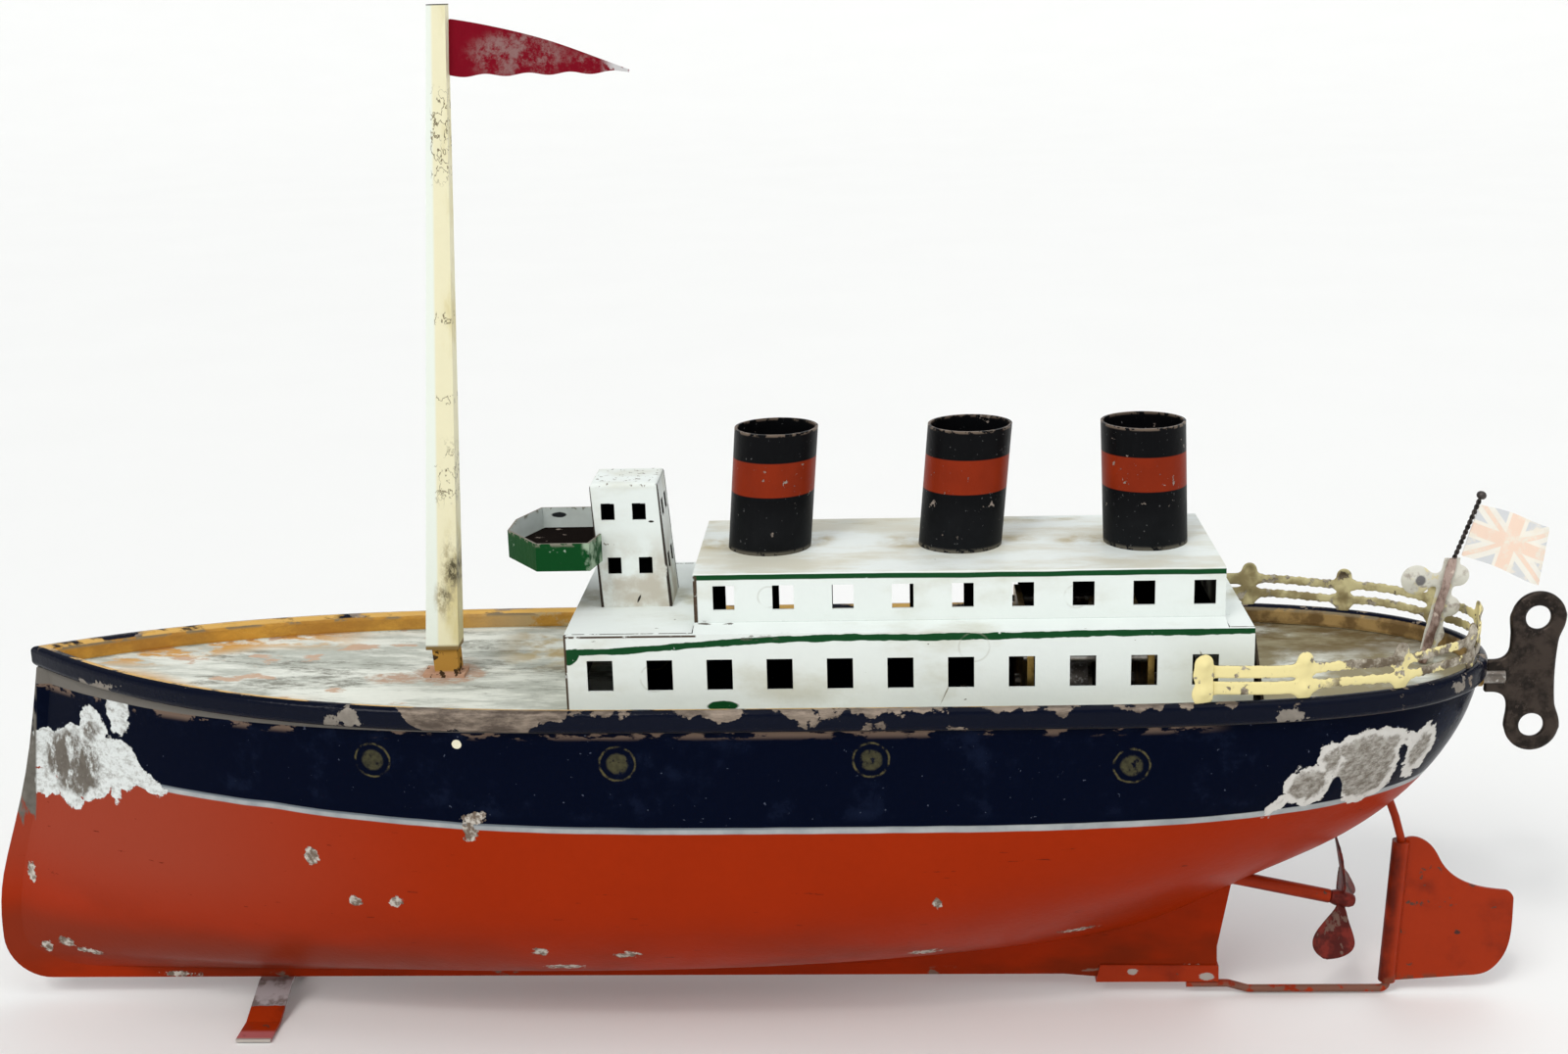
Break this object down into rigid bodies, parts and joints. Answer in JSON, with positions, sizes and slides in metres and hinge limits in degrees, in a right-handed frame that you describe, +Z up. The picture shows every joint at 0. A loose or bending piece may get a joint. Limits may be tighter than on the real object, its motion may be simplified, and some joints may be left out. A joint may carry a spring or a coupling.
{
  "type": "toy boat",
  "caption": "Antique tinplate clockwork liner with raked funnels, a tall mast, a winding key at the stern, a swinging wire-hung rudder and a screw driven by a spring motor.",
  "frame": {"origin": "middle of the bounding box, on the surface that the stand and the rudder wire rest on", "axes": "+X aft, the bow points along -X; +Y starboard; +Z up"},
  "size_m": [0.3157, 0.066, 0.1996],
  "materials": {
    "hull_paint": "gloss enamel, navy over red-orange, chipped to bare tin",
    "red_paint": "gloss red-orange enamel, worn",
    "deck_paint": "cream enamel, badly worn, ochre bulwark and navy bead",
    "white_paint": "white enamel with green edge lines",
    "green_paint": "green enamel",
    "brown_paint": "brown enamel",
    "funnel_paint": "black enamel with a red-orange band",
    "cream_paint": "cream enamel, chipped to bare tin",
    "ochre_paint": "ochre enamel",
    "pennant_paint": "dark red enamel, worn",
    "ensign_paint": "faded lithographed tin",
    "propeller_paint": "dark red-brown enamel, worn",
    "dark_steel": "tarnished steel",
    "spring_steel": "oiled steel",
    "brass": "dull brass"
  },
  "bodies": {
    "boat": {"hull_port": "hull_paint", "hull_starboard": "hull_paint", "skeg_shoe": "red_paint", "deck": "deck_paint", "front_stand": "red_paint", "cabin_shell": "white_paint", "cabin_front": "white_paint", "cabin_aft": "white_paint", "bridge_tower": "white_paint", "bridge_parapet": "green_paint", "bridge_floor": "brown_paint", "funnel_fore": "funnel_paint", "funnel_mid": "funnel_paint", "funnel_aft": "funnel_paint", "mast": "cream_paint", "mast_foot": "ochre_paint", "pennant": "pennant_paint", "stern_rail": "cream_paint", "staff_bracket": "cream_paint", "flagstaff": "dark_steel", "ensign": "ensign_paint", "rudder_post": "red_paint", "stern_tube": "red_paint", "key_bush": "brass", "mainspring": "spring_steel", "motor_plate_fore": "brass", "motor_plate_aft": "brass", "motor_pillars": "spring_steel"},
    "rudder": {"rudder": "red_paint"},
    "winding": {"winding_key": "dark_steel", "winding_arbor": "spring_steel", "ratchet_wheel": "spring_steel"},
    "great": {"great_wheel": "brass", "click": "spring_steel"},
    "second": {"second_arbor": "spring_steel", "second_wheel": "brass"},
    "output": {"output_arbor": "spring_steel", "drive_blade": "spring_steel"},
    "screw": {"propeller_shaft": "spring_steel", "shaft_cup": "brass", "propeller": "propeller_paint"}
  },
  "joints": [
    {"name": "rudder_swing", "type": "hinge", "parent": "boat", "child": "rudder", "pos_m": [0.1273, 0, 0.0023], "axis": [0.0454, 0, 0.999], "range_deg": [-35, 35]},
    {"name": "key_spin", "type": "hinge", "parent": "boat", "child": "winding", "pos_m": [0.14, 0, 0.0677], "axis": [1, 0, 0], "continuous": true},
    {"name": "great_wheel_spin", "type": "hinge", "parent": "boat", "child": "great", "pos_m": [0.068, 0, 0.0677], "axis": [1, 0, 0], "continuous": true},
    {"name": "second_arbor_spin", "type": "hinge", "parent": "boat", "child": "second", "pos_m": [0.07, 0.00246, 0.04805], "axis": [1, 0, 0], "continuous": true},
    {"name": "output_arbor_spin", "type": "hinge", "parent": "boat", "child": "output", "pos_m": [0.07, 0, 0.02901], "axis": [1, 0, 0], "continuous": true},
    {"name": "screw_spin", "type": "hinge", "parent": "boat", "child": "screw", "pos_m": [0.1175, 0, 0.0207], "axis": [0.9763, 0, -0.2164], "continuous": true}
  ],
  "couplings": [
    {"joint": "second_arbor_spin", "follows": "great_wheel_spin", "ratio": -4.5},
    {"joint": "output_arbor_spin", "follows": "great_wheel_spin", "ratio": 19.5},
    {"joint": "screw_spin", "follows": "great_wheel_spin", "ratio": 19.5}
  ]
}
